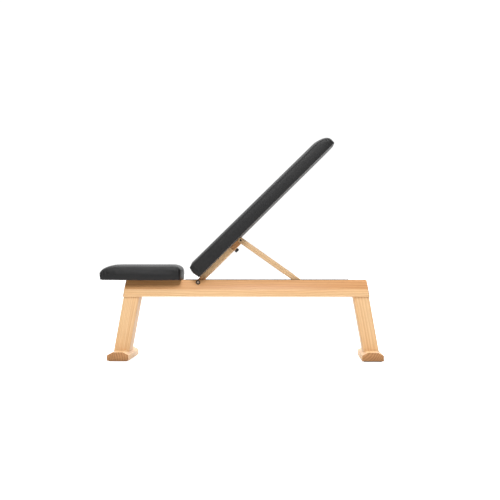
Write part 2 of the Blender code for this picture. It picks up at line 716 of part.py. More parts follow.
def build_pivot_block(buffer_hole):
    mesh = box_mesh((BLOCK_START, -BLOCK_HALF_WIDTH, SLAT_LOW), (BLOCK_END, BLOCK_HALF_WIDTH, SLAT_HIGH))
    block = new_piece("pivot_block", mesh, back, "oiled_ash")
    bevel(block, 0.0012, 1, 35)
    cut(block, buffer_hole)
    pin_hole = rod_mesh(PIN_RADIUS + GAP, -0.05, 0.05, 16)
    cut(block, new_cutter("pin_hole", [(pin_hole, Matrix.Translation((PIN_DISTANCE, 0, 0)))], back))

    washer = ring_mesh(SCREW_RADIUS + GAP, 0.009, -BUFFER_WASHER, 0, 20)
    washer.transform(Matrix.Rotation(math.pi / 2, 4, "X"))
    new_piece("buffer_washer", washer, back, "bright_steel", (BUFFER_ALONG, 0, SLAT_LOW - GAP))

    top = buffer_base()
    bottom = top - BUFFER_HEIGHT
    seat = buffer_screw().translation.z
    bore = SCREW_RADIUS + GAP
    profile = ((bore, top), (BUFFER_RADIUS, top), (BUFFER_RADIUS, bottom + 0.002),
               (BUFFER_RADIUS - 0.002, bottom), (SCREW_HEAD_RADIUS + GAP, bottom),
               (SCREW_HEAD_RADIUS + GAP, seat), (bore, seat + SCREW_HEAD_HEIGHT), (bore, top))
    new_piece("back_buffer", turned_mesh(profile, 20), back, "black_rubber", (BUFFER_ALONG, 0, 0))
    new_screw("buffer_screw", buffer_screw(), BUFFER_SCREW_LENGTH, back)


def build_strut():
    outline = arc(0, 0, STRUT_RADIUS, STRUT_RADIUS, 90, 270, 14)
    outline += arc(STRUT_LENGTH, 0, STRUT_RADIUS, STRUT_RADIUS, -90, 90, 14)
    holes = [circle(0, 0, PIN_RADIUS + GAP, 16), circle(STRUT_LENGTH, 0, RUNG_RADIUS + GAP, 20)]
    mid = rod_mesh(MID_RUNG_RADIUS + GAP, -STRUT_INNER - MID_RUNG_DEPTH - GAP,
                   STRUT_INNER + MID_RUNG_DEPTH + GAP, 16)
    mid_hole = new_cutter("mid_rung_holes", [(mid, Matrix.Translation((MID_RUNG_ALONG, 0, 0)))], strut)
    for name, side in (("strut_bar_near", -1), ("strut_bar_far", 1)):
        mesh = plate_mesh([outline] + holes, *on_rail(side, STRUT_INNER, STRUT_OUTER))
        cut(new_piece(name, mesh, strut, "oiled_ash"), mid_hole)

    rung = rod_mesh(RUNG_RADIUS, -STRUT_OUTER, STRUT_OUTER, 20)
    new_piece("strut_foot_rung", rung, strut, "bright_steel", location=(STRUT_LENGTH, 0, 0))
    reach = STRUT_INNER + MID_RUNG_DEPTH
    rung = rod_mesh(MID_RUNG_RADIUS, -reach, reach, 16)
    new_piece("strut_mid_rung", rung, strut, "hidden_wood", location=(MID_RUNG_ALONG, 0, 0))
    pin = rod_mesh(PIN_RADIUS, -PIN_HALF, PIN_HALF, 16)
    new_piece("strut_pin", pin, strut, "black_steel")
    for name, side in (("near", -1), ("far", 1)):
        mesh = ring_mesh(PIN_RADIUS + GAP, 0.009, *on_rail(side, BLOCK_HALF_WIDTH + GAP, STRUT_INNER - GAP), 16)
        new_piece("strut_washer_" + name, mesh, strut, "black_steel")


clear_scene()
parts = new_collection("adjustable_weight_bench")
cutters = new_collection("cutters")
make_materials()
frame = new_empty("frame_middle", (FRAME_X, 0, 0))
back = new_empty("back_axis", (HINGE_X, 0, HINGE_Z), -REST_ANGLE, frame)
strut = new_empty("strut_axis", (PIN_DISTANCE, 0, 0), STRUT_REST, back)
build_rails()
build_ends()
build_ties()
build_racks()
build_rest_strips()
build_hinge()
build_seat()
build_back()
build_strut()
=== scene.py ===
# Adjustable weight bench: wood, upholstery and fittings around the fixed frame
import json
import math

import bmesh
import bpy
from mathutils import Matrix, Vector


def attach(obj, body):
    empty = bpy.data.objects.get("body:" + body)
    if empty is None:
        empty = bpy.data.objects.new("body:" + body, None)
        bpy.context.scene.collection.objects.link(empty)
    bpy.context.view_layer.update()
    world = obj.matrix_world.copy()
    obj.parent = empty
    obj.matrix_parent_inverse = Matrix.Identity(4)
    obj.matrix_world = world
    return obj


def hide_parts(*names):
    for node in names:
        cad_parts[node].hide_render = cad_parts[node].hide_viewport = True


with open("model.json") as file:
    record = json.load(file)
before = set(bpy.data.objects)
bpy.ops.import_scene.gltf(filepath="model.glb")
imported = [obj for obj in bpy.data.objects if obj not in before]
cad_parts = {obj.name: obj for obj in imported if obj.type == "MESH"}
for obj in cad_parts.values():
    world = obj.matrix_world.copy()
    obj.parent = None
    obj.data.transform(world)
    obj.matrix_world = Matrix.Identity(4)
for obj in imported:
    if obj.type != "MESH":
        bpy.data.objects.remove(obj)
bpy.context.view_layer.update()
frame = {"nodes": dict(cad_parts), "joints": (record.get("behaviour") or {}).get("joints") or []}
nodes = frame["nodes"]

benchShape = {
    "strutRest": 80.0,  # degrees between the back and the strut at rest
    "legSlope": 0.18,   # a leg leans out this far for each metre down
}
recline = [j for j in frame["joints"] if j["name"] == "back_recline"][0]
hinge = Vector(recline["pos_m"])
backLean = math.radians(-recline["range_deg"][0])  # the back lies flat at the joint's lowest value
strutLean = backLean - math.radians(benchShape["strutRest"])

# a frame whose X runs along the back, with Z square to it and away from the strut
backFrame = Matrix.Translation(hinge) @ Matrix.Rotation(-backLean, 4, "Y")


def deselectAll():
    if bpy.context.object and bpy.context.object.mode != "OBJECT":
        bpy.ops.object.mode_set(mode="OBJECT")
    bpy.ops.object.select_all(action="DESELECT")


def makeActive(piece):
    deselectAll()
    piece.select_set(True)
    bpy.context.view_layer.objects.active = piece
    return piece


def applyModifiers(piece):
    makeActive(piece)
    for modifier in list(piece.modifiers):
        bpy.ops.object.modifier_apply(modifier=modifier.name)


def bake(piece, placement):
    # puts the piece's place into its mesh, so that its object sits at the origin
    piece.data.transform(placement @ piece.matrix_basis)
    piece.matrix_basis = Matrix.Identity(4)
    piece.data.update()
    return piece


def nameIt(piece, name):
    piece.name = name
    piece.data.name = name
    return piece


def editSelect(piece, kind, test):
    # enters edit mode with only the faces or edges selected that pass the test
    makeActive(piece)
    bpy.ops.object.mode_set(mode="EDIT")
    bpy.ops.mesh.select_mode(type=kind)
    bpy.ops.mesh.select_all(action="DESELECT")
    bm = bmesh.from_edit_mesh(piece.data)
    for item in (bm.faces if kind == "FACE" else bm.edges):
        item.select = test(item)
    bm.select_flush_mode()
    bmesh.update_edit_mesh(piece.data)


def leaveEdit():
    bpy.ops.object.mode_set(mode="OBJECT")


class Wire:
    # a number socket that can be added, multiplied and so on
    def __init__(self, graph, socket):
        self.graph = graph
        self.socket = socket

    def maths(self, operation, *values):
        return self.graph.node("Math", {"operation": operation}, dict(enumerate(values)))

    def __add__(self, other):
        return self.maths("ADD", self, other)

    def __radd__(self, other):
        return self.maths("ADD", other, self)

    def __sub__(self, other):
        return self.maths("SUBTRACT", self, other)

    def __rsub__(self, other):
        return self.maths("SUBTRACT", other, self)

    def __mul__(self, other):
        return self.maths("MULTIPLY", self, other)

    def __abs__(self):
        return self.maths("ABSOLUTE", self)

    def fraction(self):
        return self.maths("FRACT", self)

    def root(self):
        return self.maths("SQRT", self)

    def step(self, low, high):
        # 0 below low, 1 above high, and a smooth rise between
        return self.graph.node("MapRange", {"interpolation_type": "SMOOTHSTEP"},
                               {"Value": self, "From Min": low, "From Max": high})


class Graph:
    # adds nodes to the node tree of a material or of the world
    def __init__(self, owner):
        owner.use_nodes = True
        self.owner = owner
        self.tree = owner.node_tree

    def node(self, kind, settings=None, sockets=None, output=0):
        made = self.tree.nodes.new("ShaderNode" + kind)
        for key, value in (settings or {}).items():
            setattr(made, key, value)
        for key, value in (sockets or {}).items():
            self.plug(made.inputs[key], value)
        return Wire(self, made.outputs[output])

    def plug(self, socket, value):
        if isinstance(value, Wire):
            self.tree.links.new(value.socket, socket)
        elif isinstance(value, (tuple, list)) and len(value) == 3 and socket.type == "RGBA":
            socket.default_value = (*value, 1.0)
        else:
            socket.default_value = value

    def place(self, turn=(0, 0, 0), shift=(0, 0, 0), scale=(1, 1, 1)):
        # object coordinates, moved and turned so that a pattern can run along X
        source = self.node("TexCoord", output="Object")
        return self.node("Mapping", {"vector_type": "TEXTURE"},
                         {"Vector": source, "Location": shift, "Rotation": turn, "Scale": scale})

    def axis(self, vector, index):
        return self.node("SeparateXYZ", {}, {0: vector}, index)

    def stretch(self, vector, scale):
        return self.node("VectorMath", {"operation": "MULTIPLY"}, {0: vector, 1: scale})

    def noise(self, vector, scale, detail=3.0, rough=0.5):
        return self.node("TexNoise", {}, {"Vector": vector, "Scale": scale, "Detail": detail,
                                          "Roughness": rough}, "Fac")

    def mix(self, factor, first, second, blend="MIX"):
        return self.node("Mix", {"data_type": "RGBA", "blend_type": blend},
                         {0: factor, 6: first, 7: second}, 2)

    def bump(self, height, distance, strength=1.0, normal=None):
        sockets = {"Height": height, "Distance": distance, "Strength": strength}
        if normal:
            sockets["Normal"] = normal
        return self.node("Bump", {}, sockets)

    def set(self, **sockets):
        shader = self.tree.nodes["Principled BSDF"]
        for key, value in sockets.items():
            self.plug(shader.inputs[key.replace("_", " ")], value)


woodLooks = {
    "pale": (0.87, 0.60, 0.33), "warm": (0.76, 0.44, 0.20), "late": (0.50, 0.235, 0.085),
    "pore": (0.30, 0.135, 0.05), "endPale": (0.50, 0.245, 0.095), "endDark": (0.22, 0.09, 0.030),
    "ringsPerMetre": 105.0, "roughness": 0.42,
}


def woodMaterial(name, grain, pith, warmth, shade=1.0, boardToneAndShade=None, looks=woodLooks):
    # grain is the direction of the fibres; pith is where the heart of the log lay beside the piece
    # the board settings tell where a second board is glued on top; above that line the colour is warmer and
    # darker, partly that board's own tone and partly painted shade on the rail's sloped upper face
    g = Graph(bpy.data.materials.new(name))
    turn = Vector(grain).to_track_quat("X", "Z").to_euler()
    along = g.place(turn=turn, shift=pith)
    upper = 0.0
    if boardToneAndShade:
        height = g.axis(g.place(), 2)
        upper = height.step(boardToneAndShade["height"] - boardToneAndShade["glue"], boardToneAndShade["height"] + boardToneAndShade["glue"])
        lift = g.node("VectorMath", {"operation": "SCALE"}, {0: boardToneAndShade["shift"], "Scale": upper})
        along = g.node("VectorMath", {"operation": "ADD"}, {0: along, 1: lift})
    y, z = g.axis(along, 1), g.axis(along, 2)

    wander = g.noise(g.stretch(along, (1.3, 7.0, 7.0)), 1.0, 2.0, 0.45) - 0.5
    waver = g.noise(g.stretch(along, (5.0, 40.0, 40.0)), 1.0, 2.0, 0.5) - 0.5
    radius = (y * y + z * z).root() + wander * 0.06 + waver * 0.005
    rings = (radius * looks["ringsPerMetre"]).fraction()
    late = rings.step(0.30, 0.90) * (1.0 - rings.step(0.90, 1.0))
    spread = g.noise(g.stretch(along, (1.6, 30.0, 30.0)), 1.0, 2.0, 0.6)
    late = late * (0.25 + spread)

    fibre = g.noise(g.stretch(along, (14.0, 620.0, 620.0)), 1.0, 3.0, 0.6)
    pores = g.noise(g.stretch(along, (55.0, 1500.0, 1500.0)), 1.0, 2.0, 0.5).step(0.60, 0.72)
    pores = pores * (1.0 - rings.step(0.25, 0.6))
    flecks = g.noise(g.stretch(along, (9.0, 150.0, 150.0)), 1.0, 2.0, 0.4).step(0.62, 0.74)
    tone = g.noise(g.stretch(along, (1.1, 13.0, 13.0)), 1.0, 2.0, 0.5)
    streak = g.noise(g.stretch(along, (2.2, 85.0, 85.0)), 1.0, 3.0, 0.55)

    warmth = upper * (boardToneAndShade["warmth"] if boardToneAndShade else 0.0) + warmth
    colour = g.mix((tone - 0.5) * 1.2 + (streak - 0.5) * 1.5 + warmth, looks["pale"], looks["warm"])
    colour = g.mix(late * 0.5, colour, looks["late"])
    colour = g.mix((fibre - 0.5) * 0.55 + 0.12, colour, looks["late"])
    colour = g.mix(flecks * 0.12, colour, looks["pale"])
    colour = g.mix(pores * 0.38, colour, looks["pore"])

    # end grain shows where a face looks along the fibres
    facing = g.node("VectorMath", {"operation": "DOT_PRODUCT"},
                    {0: g.node("TexCoord", output="Normal"), 1: Vector(grain).normalized()}, "Value")
    ends = abs(facing).step(0.55, 0.85)
    rays = g.noise(g.stretch(along, (300.0, 900.0, 260.0)), 1.0, 3.0, 0.6)
    endTone = late * 0.8 + (rays - 0.5) * 0.9 + (tone - 0.5) * 0.8
    endColour = g.mix(endTone, looks["endPale"], looks["endDark"])
    colour = g.mix(ends, colour, endColour)
    # the shade multiplies the whole colour: painted light on the back slats and pivot block, painted shade
    # on the strut bars
    colour = g.mix(1.0, colour, (shade, shade, shade), "MULTIPLY")
    # above the board line the colour is multiplied by the darker, warmer tint: partly the upper board's own
    # tone, partly painted shade on the sloped upper face
    if boardToneAndShade:
        colour = g.mix(upper, colour, g.mix(1.0, colour, boardToneAndShade["toneAndShade"], "MULTIPLY"))

    roughness = looks["roughness"] + (fibre - 0.5) * 0.16 + pores * 0.15 + ends * 0.18
    height = fibre * 0.35 + late * 0.5 - pores * 1.1
    g.set(Base_Color=colour, Roughness=roughness, Normal=g.bump(height, 0.00025, 0.55),
          Specular_IOR_Level=0.45)
    return g.owner


leatherLooks = {"base": (0.0085, 0.0085, 0.0088), "worn": (0.0150, 0.0140, 0.0132),
                "crease": (0.004, 0.004, 0.005), "roughness": 0.44, "grainPerMetre": 620.0}


def leatherMaterial(name, looks=leatherLooks):
    g = Graph(bpy.data.materials.new(name))
    place = g.place()
    wobble = g.noise(place, 160.0, 2.0, 0.5)
    cells = g.node("TexVoronoi", {"feature": "DISTANCE_TO_EDGE"},
                   {"Vector": place, "Scale": looks["grainPerMetre"], "Randomness": 0.95}, "Distance")
    coarse = g.node("TexVoronoi", {"feature": "F1"},
                    {"Vector": place, "Scale": looks["grainPerMetre"] * 0.45, "Randomness": 1.0}, "Distance")
    pebble = cells.step(0.0, 0.22)
    drift = g.noise(place, 9.0, 3.0, 0.55)
    colour = g.mix((drift - 0.45) * 1.2, looks["base"], looks["worn"])
    colour = g.mix((1.0 - pebble) * 0.45, colour, looks["crease"])
    roughness = looks["roughness"] + (drift - 0.5) * 0.16 + (1.0 - pebble) * 0.14 + (wobble - 0.5) * 0.06
    height = pebble * 0.7 + coarse * 0.5 + wobble * 0.4
    slack = g.noise(g.stretch(place, (16.0, 11.0, 22.0)), 1.0, 3.0, 0.5)
    broad = g.bump(slack, 0.004, 0.25)
    g.set(Base_Color=colour, Roughness=roughness, Normal=g.bump(height, 0.00016, 0.4, broad),
          Specular_IOR_Level=0.34)
    return g.owner


def clothMaterial(name, colour, threads, direction, roughness=0.9):
    # a plain woven or felted sheet
    g = Graph(bpy.data.materials.new(name))
    turn = Vector(direction).to_track_quat("X", "Z").to_euler()
    place = g.place(turn=turn)
    x, y = g.axis(place, 0), g.axis(place, 1)
    warp = x.maths("SINE", x * (threads * math.pi))
    weft = y.maths("SINE", y * (threads * math.pi))
    weave = warp * weft * 0.5 + 0.5
    fuzz = g.noise(place, threads * 1.3, 3.0, 0.7)
    drift = g.noise(place, 14.0, 3.0, 0.6)
    dark = [channel * 0.55 for channel in colour]
    light = [min(1.0, channel * 1.45) for channel in colour]
    shade = g.mix(weave * 0.45 + fuzz * 0.5, dark, light)
    shade = g.mix((drift - 0.4) * 0.7, shade, colour)
    g.set(Base_Color=shade, Roughness=roughness + (fuzz - 0.5) * 0.1,
          Normal=g.bump(weave * 0.6 + fuzz * 0.8, 0.0002, 0.6), Specular_IOR_Level=0.2)
    return g.owner


def metalMaterial(name, colour, metallic, roughness, brushed, wear=0.0):
    g = Graph(bpy.data.materials.new(name))
    place = g.place()
    lines = g.noise(g.stretch(place, brushed), 1.0, 3.0, 0.6)
    spots = g.noise(place, 240.0, 3.0, 0.6)
    dull = [channel * 0.72 for channel in colour]
    shade = g.mix(lines * 0.6 + (spots - 0.5) * 0.5, dull, colour)
    bare = spots.step(0.66, 0.74) * wear
    shade = g.mix(bare, shade, (0.42, 0.41, 0.40))
    roughness = roughness + (lines - 0.5) * 0.2 + (spots - 0.5) * 0.08
    g.set(Base_Color=shade, Metallic=metallic, Roughness=roughness,
          Normal=g.bump(lines * 0.5 + spots * 0.5, 0.00006, 0.5))
    return g.owner


def rubberMaterial(name):
    g = Graph(bpy.data.materials.new(name))
    place = g.place()
    fine = g.noise(place, 900.0, 3.0, 0.6)
    dust = g.noise(place, 60.0, 4.0, 0.6).step(0.5, 0.8)
    shade = g.mix(dust * 0.35 + fine * 0.15, (0.012, 0.012, 0.013), (0.05, 0.048, 0.045))
    g.set(Base_Color=shade, Roughness=0.72 + (fine - 0.5) * 0.25, Normal=g.bump(fine, 0.0001, 0.6))
    return g.owner


def plywoodMaterial(name, across):
    # layers show on the edges, long grain on the face
    g = Graph(bpy.data.materials.new(name))
    turn = Vector(across).to_track_quat("X", "Z").to_euler()
    place = g.place(turn=turn)
    depth = g.axis(place, 0)
    layer = (depth * 660.0 + (g.noise(place, 30.0) - 0.5) * 0.25).fraction().step(0.42, 0.5)
    fibre = g.noise(g.stretch(place, (200.0, 30.0, 420.0)), 1.0, 3.0, 0.6)
    shade = g.mix(layer * 0.6 + (fibre - 0.5) * 0.5, (0.62, 0.43, 0.25), (0.38, 0.23, 0.12))
    g.set(Base_Color=shade, Roughness=0.7 + (fibre - 0.5) * 0.2, Normal=g.bump(fibre, 0.0002, 0.5))
    return g.owner


alongBack = Vector((math.cos(backLean), 0.0, math.sin(backLean)))
squareToBack = Vector((-math.sin(backLean), 0.0, math.cos(backLean)))
alongStrut = Vector((math.cos(strutLean), 0.0, math.sin(strutLean)))
legDown = Vector((benchShape["legSlope"], 0.0, -1.0)).normalized()

# the rails are glued up from two boards, the upper one cut from another place in the log; the upper board's
# warmer, darker colour is partly its own tone and partly painted shade on the rail's sloped upper face
railBoardToneAndShade = {"height": 0.3245, "glue": 0.0003, "warmth": 0.35, "toneAndShade": (0.82, 0.69, 0.56),
              "shift": (0.61, 0.31, 0.17)}
# for each piece: the run of its fibres, its place beside the log's heart, its warmth and its shade; the
# shade above 1 on the back slats and the pivot block is painted light where the back pad shades them, and
# the shade below 1 on the strut bars is painted shade
woods = {
    "rail_near": woodMaterial("woodRailNear", (1, 0, 0), (0.3, 0.19, -0.31), 0.30, 1.0, railBoardToneAndShade),
    "rail_far": woodMaterial("woodRailFar", (1, 0, 0), (1.1, -0.05, -0.27), 0.32, 1.0, railBoardToneAndShade),
    "leg_seat_end": woodMaterial("woodLegSeatEnd", (-legDown.x, 0, legDown.z), (0.2, 0.03, -0.16), 0.22),
    "leg_back_end": woodMaterial("woodLegBackEnd", legDown, (0.7, -0.02, -0.19), 0.25),
    "foot_seat_end": woodMaterial("woodFootSeatEnd", (0, 1, 0), (0.1, 0.64, 0.09), 0.30),
    "foot_back_end": woodMaterial("woodFootBackEnd", (0, 1, 0), (0.5, -0.55, 0.10), 0.30),
    # the strut bars' shade of 0.78 is painted shade
    "strut_bar_near": woodMaterial("woodStrutNear", alongStrut, (0.1, 0.02, 0.1), 0.2, 0.78),
    "strut_bar_far": woodMaterial("woodStrutFar", alongStrut, (0.9, 0.06, 0.08), 0.2, 0.78),
    # the slats' shade of 1.14 and the block's 1.3 are painted light where the back pad shades them
    "back_slat_near": woodMaterial("woodSlatNear", alongBack, (0.4, 0.03, 0.09), -0.1, 1.14),
    "back_slat_far": woodMaterial("woodSlatFar", alongBack, (1.4, 0.07, 0.11), -0.1, 1.14),
    "pivot_block": woodMaterial("woodBlock", (0, 1, 0), (0.2, 0.15, 0.06), 0.5, 1.3),
    "cross_tie_front": woodMaterial("woodTieFront", (0, 1, 0), (0.3, 0.5, 0.1), 0.5),
    "cross_tie_rear": woodMaterial("woodTieRear", (0, 1, 0), (0.6, 0.35, 0.13), 0.5),
    "cross_tie_centre": woodMaterial("woodTieCentre", (0, 1, 0), (0.8, 0.1, 0.12), 0.5),
    "rack_near": woodMaterial("woodRackNear", (1, 0, 0), (0.2, 0.08, -0.2), 0.6),
    "rack_far": woodMaterial("woodRackFar", (1, 0, 0), (0.7, -0.08, -0.22), 0.6),
}
dowelWood = woodMaterial("woodDowel", (0, 1, 0), (0.1, 0.05, 0.03), 0.4)
leather = leatherMaterial("charcoalLeather")
seatCloth = clothMaterial("backingClothSeat", (0.17, 0.17, 0.172), 700.0, (1, 0, 0))
backCloth = clothMaterial("backingClothBack", (0.17, 0.17, 0.172), 700.0, alongBack)
felt = clothMaterial("brownFelt", (0.045, 0.03, 0.022), 500.0, (1, 0, 0), 0.95)
seatPly = plywoodMaterial("plywoodSeat", (0, 0, 1))
backPly = plywoodMaterial("plywoodBack", squareToBack)
blackSteel = metalMaterial("blackSteel", (0.006, 0.005, 0.005), 0.0, 0.55, (60, 900, 60), 0.12)
brightSteel = metalMaterial("brightSteel", (0.60, 0.55, 0.50), 1.0, 0.34, (80, 900, 80))
dullSteel = metalMaterial("dullSteel", (0.80, 0.64, 0.50), 0.55, 0.55, (80, 900, 80))
rubber = rubberMaterial("blackRubber")
print("materials made")


fittings = {
    "leg_dowel": dowelWood, "strut_mid_rung": dowelWood, "seat_board": seatPly, "back_board": backPly,
    "seat_backing": seatCloth, "back_backing": backCloth, "seat_pad": leather, "back_pad": leather,
    "hinge_bush": blackSteel, "strut_pin": blackSteel, "strut_washer": blackSteel,
    "hinge_axle": dullSteel, "foot_glide": rubber, "back_buffer": rubber, "rest_strip": felt,
}


def finishFor(name):
    if name in woods:
        return woods[name]
    for start, finish in fittings.items():
        if name.startswith(start):
            return finish
    return brightSteel


# CAD nodes keep their shape and get their finish, with shading smooth over the rounded edges
edgeSoftening = {
    "strut_bar": 0.0012, "back_slat": 0.0010, "pivot_block": 0.0004, "rack": 0.0005, "rest_strip": 0.0005,
}
edgeShading = {"weld": 0.00001, "soften": 50, "split": 32}
for name, node in nodes.items():
    node.data.materials.clear()
    node.data.materials.append(finishFor(name))
    node.data.shade_smooth()
    weld = node.modifiers.new("weld", "WELD")
    weld.merge_threshold = edgeShading["weld"]
    for start, width in edgeSoftening.items():
        if name.startswith(start):
            soften = node.modifiers.new("soften", "BEVEL")
            soften.width = width
            soften.segments = 2
            soften.limit_method = "ANGLE"
            soften.angle_limit = math.radians(edgeShading["soften"])
    split = node.modifiers.new("split", "EDGE_SPLIT")
    split.split_angle = math.radians(edgeShading["split"])
print("frame finished")


seatPadShape = {
    "voxel": 0.005, "edge": 0.020, "shrink": 0.0025, "pressure": 4.0, "cap": 0.0062, "sink": 0.001,
    "give": 0.4, "backing": 0.0008, "hem": 0.0128, "cornerPleats": 0.0016, "taper": 0.075,
    "tuck": 0.016, "hang": 0.002, "endLean": 0.0, "endTuck": 0.004,
}
backPadShape = {
    "voxel": 0.006, "edge": 0.020, "shrink": 0.0025, "pressure": 4.0, "cap": 0.0060, "sink": 0.001,
    "give": 0.4, "backing": 0.0008, "hem": 0.0128, "cornerPleats": 0.0014, "taper": 0.075,
    "tuck": 0.016, "hang": 0.002, "endLean": 0.014, "endTuck": 0.007,
}
pocketShape = {"depth": 0.022, "wall": 0.005, "lip": 0.003, "closed": 0.0010}
rim = {"onSide": 0.0005, "corner": 1.0, "above": 0.001}
coverCloth = {"quality": 5, "mass": 0.4, "stretch": 18, "shear": 8, "bend": 2.5, "frames": 20,
              "held": 0.004, "easing": 4, "settling": 5}
sides = {"leanFrom": 0.45, "leanCurve": 2.5, "tuckBelow": 0.4, "endReach": 0.05, "underside": 0.010,
         "flatten": 0.35, "clear": 0.0006}
pleats = {"places": ((0.016, 1.0), (0.031, 0.55)), "slant": 0.010, "width": 0.0028, "below": 0.012,
          "reachX": 0.09, "reachY": 0.05, "sideY": 0.02, "fade": 3.0, "endShare": 0.3}


def padBlank(node, placement, settings):
    # the pad's solid in its own level frame, with its pocket closed and its long edges rounded
    blank = bpy.data.objects.new("blank", nodes[node].data.copy())
    bpy.context.scene.collection.objects.link(blank)
    blank.data.transform(placement.inverted())
    makeActive(blank)
    bpy.ops.object.mode_set(mode="EDIT")
    bpy.ops.mesh.select_mode(type="VERT")
    bpy.ops.mesh.select_all(action="SELECT")
    bpy.ops.mesh.remove_doubles(threshold=0.00002)
    leaveEdit()
    low = min(v.co.z for v in blank.data.vertices)
    high = max(v.co.z for v in blank.data.vertices)
    halfWidth = max(v.co.y for v in blank.data.vertices)
    ceiling = low + pocketShape["depth"]
    for v in blank.data.vertices:
        inside = abs(v.co.y) < halfWidth - pocketShape["wall"]
        if inside and low + pocketShape["lip"] < v.co.z < ceiling:
            v.co.z = low + pocketShape["closed"]

    def isRim(edge):
        ends = [v.co for v in edge.verts]
        onSide = all(abs(co.y) > halfWidth - rim["onSide"] for co in ends) and ends[0].y * ends[1].y > 0
        isCorner = len(edge.link_faces) == 2 and edge.calc_face_angle() > rim["corner"]
        return onSide and isCorner and max(co.z for co in ends) > low + rim["above"]

    front = min(v.co.x for v in blank.data.vertices)
    rear = max(v.co.x for v in blank.data.vertices)
    editSelect(blank, "EDGE", isRim)
    bpy.ops.mesh.bevel(offset=settings["edge"], offset_type="OFFSET", segments=5, profile=0.5,
                       clamp_overlap=False)
    leaveEdit()
    return blank, (low, high, front, rear, halfWidth)


def inflate(piece, settings, low):
    # the foam pushes the cover out a little; the underside stays where it is stapled
    remesh = piece.modifiers.new("remesh", "REMESH")
    remesh.mode = "VOXEL"
    remesh.voxel_size = settings["voxel"]
    ease = piece.modifiers.new("ease", "SMOOTH")
    ease.factor = 0.5
    ease.iterations = coverCloth["easing"]
    shrink = piece.modifiers.new("shrink", "DISPLACE")
    shrink.strength = -settings["shrink"]
    shrink.mid_level = 0.0
    applyModifiers(piece)
    start = [(v.co.copy(), v.normal.copy()) for v in piece.data.vertices]
    held = piece.vertex_groups.new(name="held")
    line = low + settings["shrink"] + coverCloth["held"]
    held.add([v.index for v in piece.data.vertices if v.co.z < line], 1.0, "REPLACE")
    cloth = piece.modifiers.new("cover", "CLOTH")
    cloth.settings.quality = coverCloth["quality"]
    cloth.settings.mass = coverCloth["mass"]
    cloth.settings.tension_stiffness = coverCloth["stretch"]
    cloth.settings.compression_stiffness = coverCloth["stretch"]
    cloth.settings.shear_stiffness = coverCloth["shear"]
    cloth.settings.bending_stiffness = coverCloth["bend"]
    cloth.settings.use_pressure = True
    cloth.settings.uniform_pressure_force = settings["pressure"]
    cloth.settings.effector_weights.gravity = 0.0
    cloth.settings.vertex_group_mass = "held"
    cloth.collision_settings.use_collision = False
    cloth.point_cache.frame_start = 1
    cloth.point_cache.frame_end = coverCloth["frames"]
    for step in range(1, coverCloth["frames"] + 1):
        bpy.context.scene.frame_set(step)
    swollen = piece.evaluated_get(bpy.context.evaluated_depsgraph_get())
    moved = [v.co.copy() for v in swollen.data.vertices]
    piece.modifiers.remove(cloth)
    bpy.context.scene.frame_set(1)
    # a free cover crumples at its corners, so only its movement square to the surface is kept,
    # within limits and scaled down
    for v, (old, outward), new in zip(piece.data.vertices, start, moved):
        push = max(-settings["sink"], min(settings["cap"], (new - old).dot(outward)))
        v.co = old + outward * (push * settings["give"])
    piece.vertex_groups.clear()
    settle = piece.modifiers.new("settle", "SMOOTH")
    settle.factor = 0.5
    settle.iterations = coverCloth["settling"]


def tuck(piece, settings, box):
    # hem, pleats and the flat underside, worked on the finished surface
    low, high, front, rear, halfWidth = box
    pull, below = settings["cornerPleats"], high - pleats["below"]
    corners = [(x, y) for x in (front, rear) for y in (-halfWidth, halfWidth)]
    for v in piece.data.vertices:
        co = v.co
        rise = (co.z - low) / (high - low)
        # the sides lean in towards the top, and a little towards the staples
        top = max(0.0, (rise - sides["leanFrom"]) / (1.0 - sides["leanFrom"])) ** sides["leanCurve"]
        bottom = max(0.0, (sides["tuckBelow"] - rise) / sides["tuckBelow"]) ** 2
        co.y *= 1.0 - settings["taper"] * top - settings["tuck"] * bottom
        nearFront = max(0.0, 1.0 - (co.x - front) / sides["endReach"])
        co.x += nearFront * (settings["endLean"] * top + settings["endTuck"] * bottom)
        under = co.z < low + sides["underside"]
        if under:
            co.z = low + (co.z - low) * sides["flatten"] if co.z > low else low
        inX = min(co.x - front, rear - co.x)
        inY = halfWidth - abs(co.y)
        if under and min(inX, inY) > settings["hem"]:
            co.z = max(co.z, low + settings["backing"] + sides["clear"])
        elif under:
            across = min(1.0, max(0.0, min(inX, inY)) / settings["hem"])
            co.z = max(low, co.z) - settings["hang"] * (1.0 - across)
        for cornerX, cornerY in corners:
            inward = 1.0 if cornerX == front else -1.0
            alongX = abs(co.x - cornerX)
            alongY = abs(co.y - cornerY)
            if alongX < pleats["reachX"] and alongY < pleats["reachY"] and co.z < below:
                depth = (below - co.z) / (high - low)
                for offset, size in pleats["places"]:
                    line = alongX - offset - depth * pleats["slant"]
                    dip = size * math.exp(-(line / pleats["width"]) ** 2) * min(1.0, depth * pleats["fade"])
                    if abs(co.y - cornerY) < pleats["sideY"]:
                        co.y -= math.copysign(pull * dip, cornerY)
                        co.x += inward * pull * dip * pleats["endShare"]
    piece.data.update()


